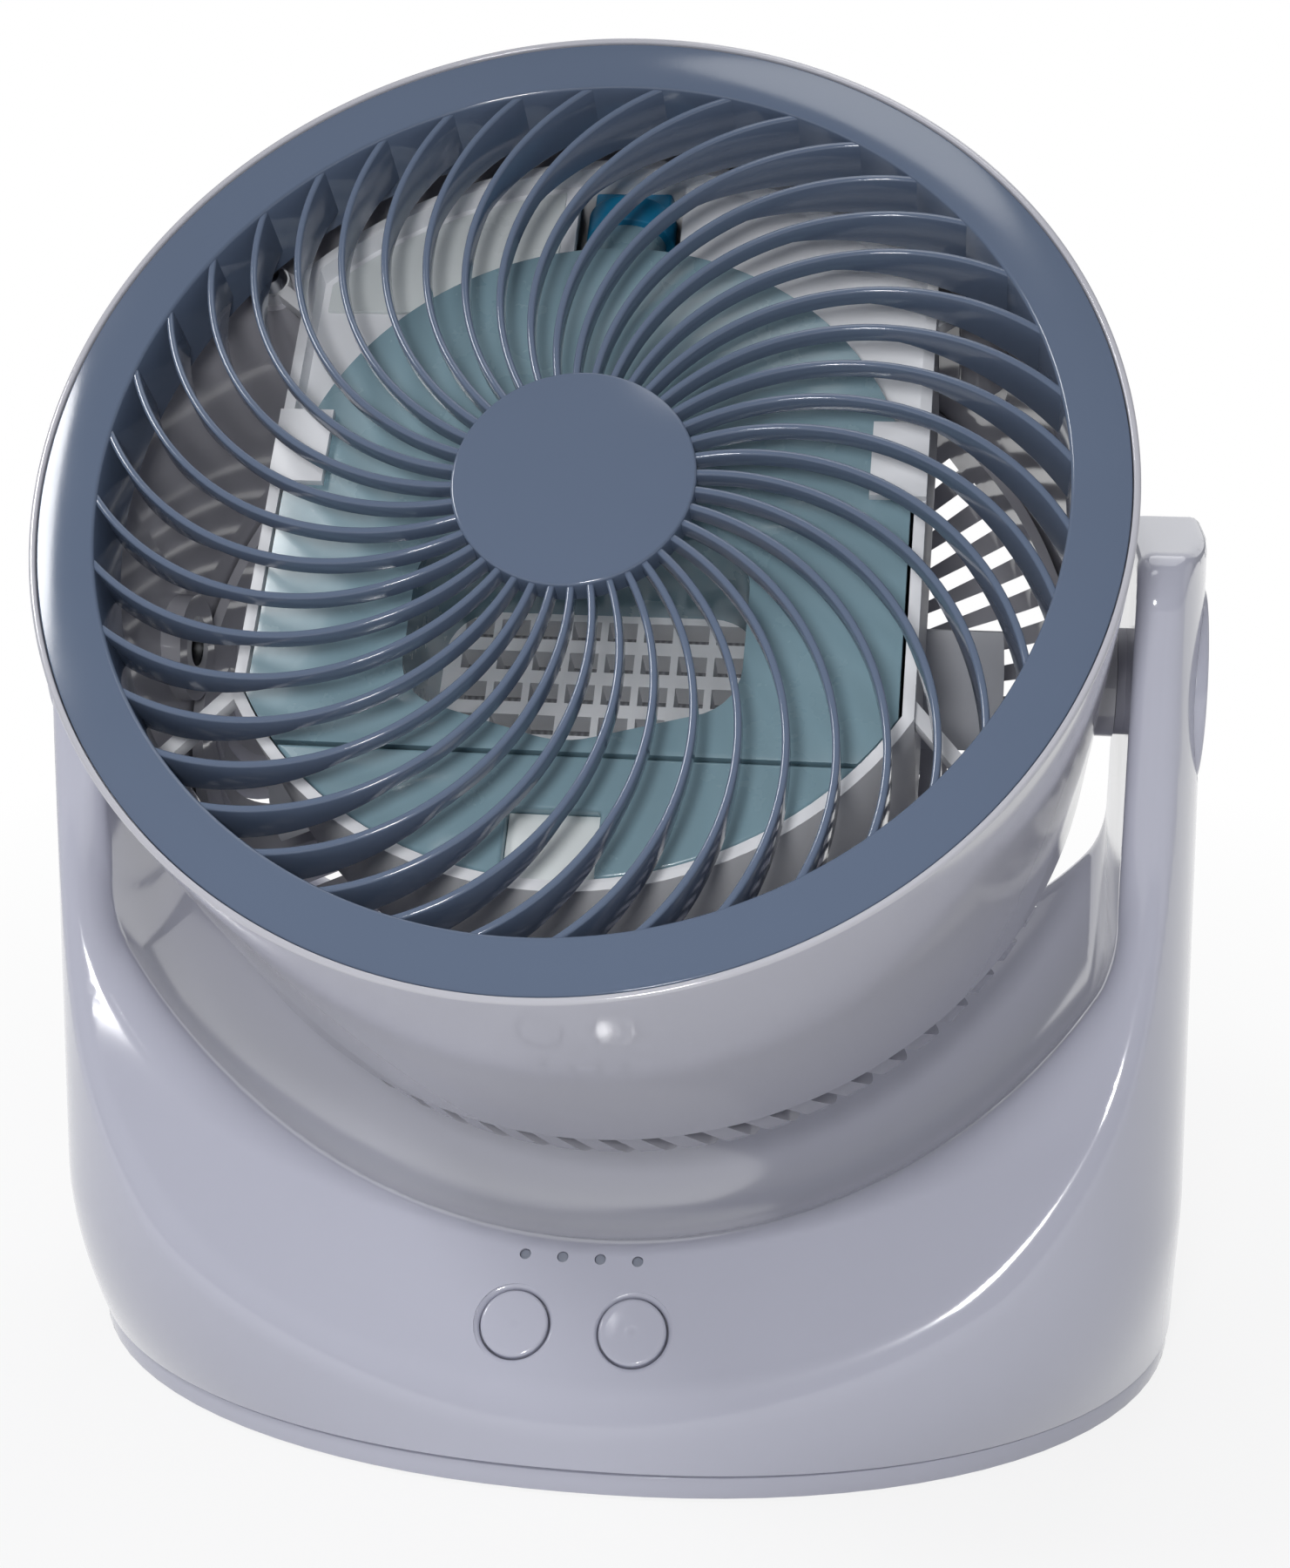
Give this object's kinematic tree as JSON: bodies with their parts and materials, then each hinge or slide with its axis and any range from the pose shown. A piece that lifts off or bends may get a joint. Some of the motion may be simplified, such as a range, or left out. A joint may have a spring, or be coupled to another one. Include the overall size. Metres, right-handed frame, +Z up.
{
  "type": "evaporative air cooler",
  "caption": "Desktop air cooler: a drum-shaped head with a spiral-bladed front grille, an inner water box and a fan, tilting in a U-shaped stand with two push buttons.",
  "frame": {"origin": "on the floor, below the middle of the object's bounding box with the head tilted as in the picture", "axes": "+Z up, front towards -Y, +X to the viewer's right along the tilt axis"},
  "size_m": [0.216, 0.1858, 0.2445],
  "materials": {
    "stand_white": "gloss",
    "drum_white": "gloss",
    "inner_white": "satin",
    "window_white": "satin",
    "slate_blue": "satin",
    "teal": "gloss",
    "plug_blue": "satin",
    "fan_white": "satin",
    "pad_grey": "matte",
    "motor_dark": "satin",
    "steel": "satin",
    "washer_grey": "matte",
    "black_plastic": "matte",
    "board_green": "satin",
    "lens_grey": "gloss",
    "rubber_black": "matte"
  },
  "bodies": {
    "stand": {"base_body": "stand_white", "base_plate": "stand_white", "rubber_feet": "rubber_black", "base_screws": "steel", "power_inlet": "black_plastic", "control_board": "board_green", "board_screws": "steel", "tact_switches": "black_plastic", "light_pipes": "lens_grey", "pivot_washers": "washer_grey", "pivot_caps": "stand_white"},
    "head": {"drum": "drum_white", "front_grille": "slate_blue", "rear_cover": "drum_white", "tank_tray": "inner_white", "tray_screws": "steel", "water_tank": "teal", "tank_drawer": "teal", "level_window": "window_white", "fill_plug": "plug_blue", "blank_plate": "inner_white", "pad_grid": "inner_white", "cooling_pad": "pad_grey", "motor": "motor_dark", "motor_screws": "steel", "pivot_pins": "steel", "pivot_clips": "steel"},
    "fan": {"impeller": "fan_white", "motor_shaft": "steel"},
    "left_button": {"button_left": "stand_white"},
    "right_button": {"button_right": "stand_white"}
  },
  "joints": [
    {"name": "head_tilt", "type": "hinge", "parent": "stand", "child": "head", "pos_m": [0, 0.0147, 0.1342], "axis": [-1, 0, 0], "range_deg": [-40, 50]},
    {"name": "fan_spin", "type": "hinge", "parent": "head", "child": "fan", "pos_m": [0, 0.0147, 0.1342], "axis": [0, -0.766, 0.6428], "continuous": true},
    {"name": "left_press", "type": "slide", "parent": "stand", "child": "left_button", "axis": [0, 0.7071, -0.7071], "range_m": [0, 0.001], "stiffness_N_per_m": 500},
    {"name": "right_press", "type": "slide", "parent": "stand", "child": "right_button", "axis": [0, 0.7071, -0.7071], "range_m": [0, 0.001], "stiffness_N_per_m": 500}
  ]
}
